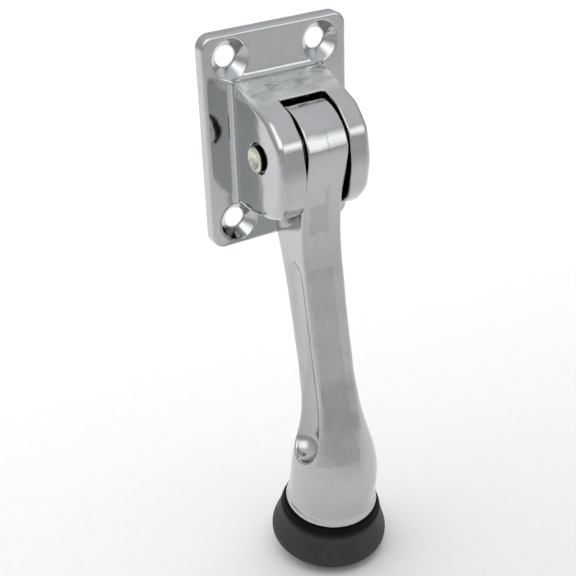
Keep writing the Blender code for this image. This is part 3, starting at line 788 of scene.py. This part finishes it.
def make_leaf_spring():
    """An arched strip of spring steel with rounded edges."""
    low = POCKET_FLOOR + CLEARANCE
    rise = LEAF_CROWN - low - LEAF_THICKNESS
    bend = (LEAF_HALF[1] ** 2 + rise ** 2) / (2 * rise)
    bm = bmesh.new()
    rows = []
    steps = 40
    for index in range(steps + 1):
        up = LEAF_HALF[1] * (2 * index / steps - 1)
        out = LEAF_CROWN - LEAF_THICKNESS / 2 - bend + math.sqrt(bend ** 2 - up ** 2)
        row = [bm.verts.new((x * MM, -out * MM, up * MM)) for x in (-LEAF_HALF[0], 0, LEAF_HALF[0])]
        rows.append(row)
    for lower, upper in zip(rows, rows[1:]):
        for index in range(2):
            bm.faces.new((lower[index], lower[index + 1], upper[index + 1], upper[index]))
    leaf = from_bmesh("leaf_strip", bm)
    thick = leaf.modifiers.new("thick", "SOLIDIFY")
    thick.thickness = LEAF_THICKNESS * MM
    thick.offset = 0
    edge = leaf.modifiers.new("edge", "BEVEL")
    edge.width = 0.15 * MM
    edge.segments = 2
    material = steel("spring_steel", (0.34, 0.35, 0.38, 1), (0.20, 0.20, 0.24, 1), 0.30)
    stand_for(leaf, "leaf_spring", material)


def make_rubber_foot():
    """The foot's moulded profile: neck, crease, flare, rounded rim, sole, recess and bore."""
    sole = -FOOT_HEIGHT
    bore = SCREW_RADIUS + 0.6
    top = SPIGOT_DEPTH - CLEARANCE
    corners = [((SPIGOT_RADIUS + bore) / 2, top), (SPIGOT_RADIUS, top)]
    corners += [(SPIGOT_RADIUS, -CLEARANCE), (FOOT_NECK - 0.2, -CLEARANCE)]
    corners += [(FOOT_NECK, -1.9), (FOOT_NECK + 0.45, -2.35)]
    corners += [(14.6, -5.2), (15.7, -8.5), (FOOT_RADIUS, sole + 1.7), (FOOT_RADIUS, sole), (11.5, sole)]
    corners += [(11.2, sole + 0.25), (10.8, sole + 0.25), (10.5, sole)]
    corners += [(RECESS_RADIUS, sole), (RECESS_RADIUS, sole + RECESS_DEPTH), (bore, sole + RECESS_DEPTH)]
    corners += [(bore, top), corners[0]]
    profile = rounded_profile(corners, 0.75, 5)[:-1]
    foot = turned("foot_rubber", profile, FOOT_FRAME, 160)
    stand_for(foot, "rubber_foot", rubber("black_rubber"))


def screw_shape(head_top):
    """A slotted pan-head wood screw in the foot's frame, as a shape function."""
    def shape(x, deep, up):
        reach = np.hypot(x, deep)
        turn = np.arctan2(deep, x) / (2 * math.pi)
        pitch = 1.4
        phase = np.mod(up / pitch - turn, 1.0)
        thread = 0.32 * (1 - 2 * np.abs(phase - 0.5))
        fade = np.clip((up - head_top - 4) / 1.5, 0, 1)
        taper = np.clip((head_top + 20 - up) / 4, 0, 1) ** 0.5
        shank = np.maximum(reach - taper * (1.75 + fade * (thread - 0.1)), up - head_top - SCREW_LENGTH)
        shank = np.maximum(shank * 0.8, head_top - 0.5 - up)
        dome = np.hypot(reach, (up - head_top) * 1.1 - 4.0) - 6.4
        head = np.maximum(dome, head_top - SCREW_HEAD_HEIGHT - up)
        head = meet_round(reach - SCREW_HEAD_RADIUS, head, 0.4)
        head = meet_round(head, up - head_top, 0.15)
        slot = np.maximum(np.abs(deep) - 0.55, up - (head_top - 1.2))
        head = meet_round(head, -slot, 0.12)
        return np.minimum(shank, head)
    return shape


def make_foot_screw():
    head_top = RECESS_DEPTH - FOOT_HEIGHT - 1.6
    low = (-4.3, -4.3, head_top - 2.6)
    high = (4.3, 4.3, head_top + 20.2)
    screw = skin("foot_screw_body", screw_shape(head_top), low, high, 0.16)
    screw.data.transform(FOOT_FRAME)
    material = steel("screw_steel", (0.64, 0.63, 0.58, 1), (0.38, 0.38, 0.36, 1), 0.25)
    stand_for(screw, "foot_screw", material)


# ---- Stage ----

CAMERA_TURN = (-29.326, 29.138, -2.031)
CAMERA_DISTANCE = 311.623
CAMERA_SHIFT = (4.216, -41.796)
CAMERA_LENS = 74.69


def make_camera():
    """The camera stands to the left, above and slightly rolled, looking past the pivot."""
    turn, rise, roll = (math.radians(angle) for angle in CAMERA_TURN)
    back = Vector((math.sin(turn) * math.cos(rise), -math.cos(turn) * math.cos(rise), math.sin(rise)))
    level = Vector((0, 0, 1)).cross(back).normalized()
    above = back.cross(level)
    right = level * math.cos(roll) + above * math.sin(roll)
    over = above * math.cos(roll) - level * math.sin(roll)
    spot = (right * CAMERA_SHIFT[0] + over * CAMERA_SHIFT[1] + back * CAMERA_DISTANCE) * MM
    data = bpy.data.cameras.new("camera")
    data.lens = CAMERA_LENS
    data.sensor_width = 36
    data.clip_start = 0.01
    camera = bpy.data.objects.new("camera", data)
    camera.matrix_world = Matrix((right, over, back)).transposed().to_4x4()
    camera.matrix_world.translation = spot
    bpy.context.scene.collection.objects.link(camera)
    bpy.context.scene.camera = camera


def area_light(name, spot, aim, size, radiance, in_reflections=True):
    data = bpy.data.lights.new(name, "AREA")
    data.shape = "RECTANGLE"
    data.size, data.size_y = size
    data.energy = radiance * math.pi * size[0] * size[1]
    light = bpy.data.objects.new(name, data)
    light.location = spot
    light.rotation_mode = "QUATERNION"
    light.rotation_quaternion = (Vector(aim) - Vector(spot)).to_track_quat("-Z", "Y")
    light.visible_glossy = in_reflections
    light.visible_camera = False
    bpy.context.scene.collection.objects.link(light)
    return light


def direction(azimuth, elevation, distance):
    """A point seen from the pivot; azimuth 0 is straight out from the door, 90 is to its right."""
    turn, rise = math.radians(azimuth), math.radians(elevation)
    flat = Vector((math.sin(turn), -math.cos(turn), 0)) * math.cos(rise)
    return Vector(hinge) + (flat + Vector((0, 0, math.sin(rise)))) * distance


# Each softbox is a stack of lights of different sizes, as (size, radiance), so that its edges are soft.
WINDOW_LAYERS = [((1.16, 0.80), 0.35), ((0.90, 0.56), 0.40), ((0.64, 0.32), 0.35)]
LEFT_LAYERS = [((1.5, 1.2), 0.35), ((1.15, 0.9), 0.4), ((0.8, 0.65), 0.4)]


def make_stage():
    bm = bmesh.new()
    bmesh.ops.create_grid(bm, x_segments=40, y_segments=40, size=2.5)
    bmesh.ops.translate(bm, vec=(0, 0, cad_low.z - 2 * MM), verts=bm.verts)
    floor = from_bmesh("floor", bm)
    floor.data.materials.append(floor_paper("floor_paper"))
    world = bpy.data.worlds.new("studio")
    world.use_nodes = True
    tree = world.node_tree
    height = add(tree, "SeparateXYZ", {"Vector": add(tree, "TexCoord").outputs["Generated"]}).outputs["Z"]
    sky = tree.nodes["Background"]
    sky.inputs["Color"].default_value = (0.97, 0.98, 1.0, 1)
    tree.links.new(ramp(tree, height, 0.1, 0.9, 0.52, 0.82), sky.inputs["Strength"])
    bpy.context.scene.world = world
    for index, (size, radiance) in enumerate(WINDOW_LAYERS):
        light = area_light(f"window_{index}", direction(31, 20.5, 1.2 - 0.02 * index), hinge, size, radiance)
        light.visible_diffuse = index == 0
    for index, (size, radiance) in enumerate(LEFT_LAYERS):
        light = area_light(f"left_{index}", direction(-31, 44, 1.2 - 0.02 * index), hinge, size, radiance)
        light.visible_diffuse = False
    overhead = Vector((0.08, 0.36, 0.30))
    area_light("overhead", overhead, overhead - Vector((0, 0, 1)), (1.5, 0.9), 1.15, in_reflections=False)
    bpy.context.scene.view_settings.view_transform = "Standard"


make_camera()
make_stage()
make_castings()
make_pin()
make_washers()
make_leaf_spring()
make_rubber_foot()
make_foot_screw()
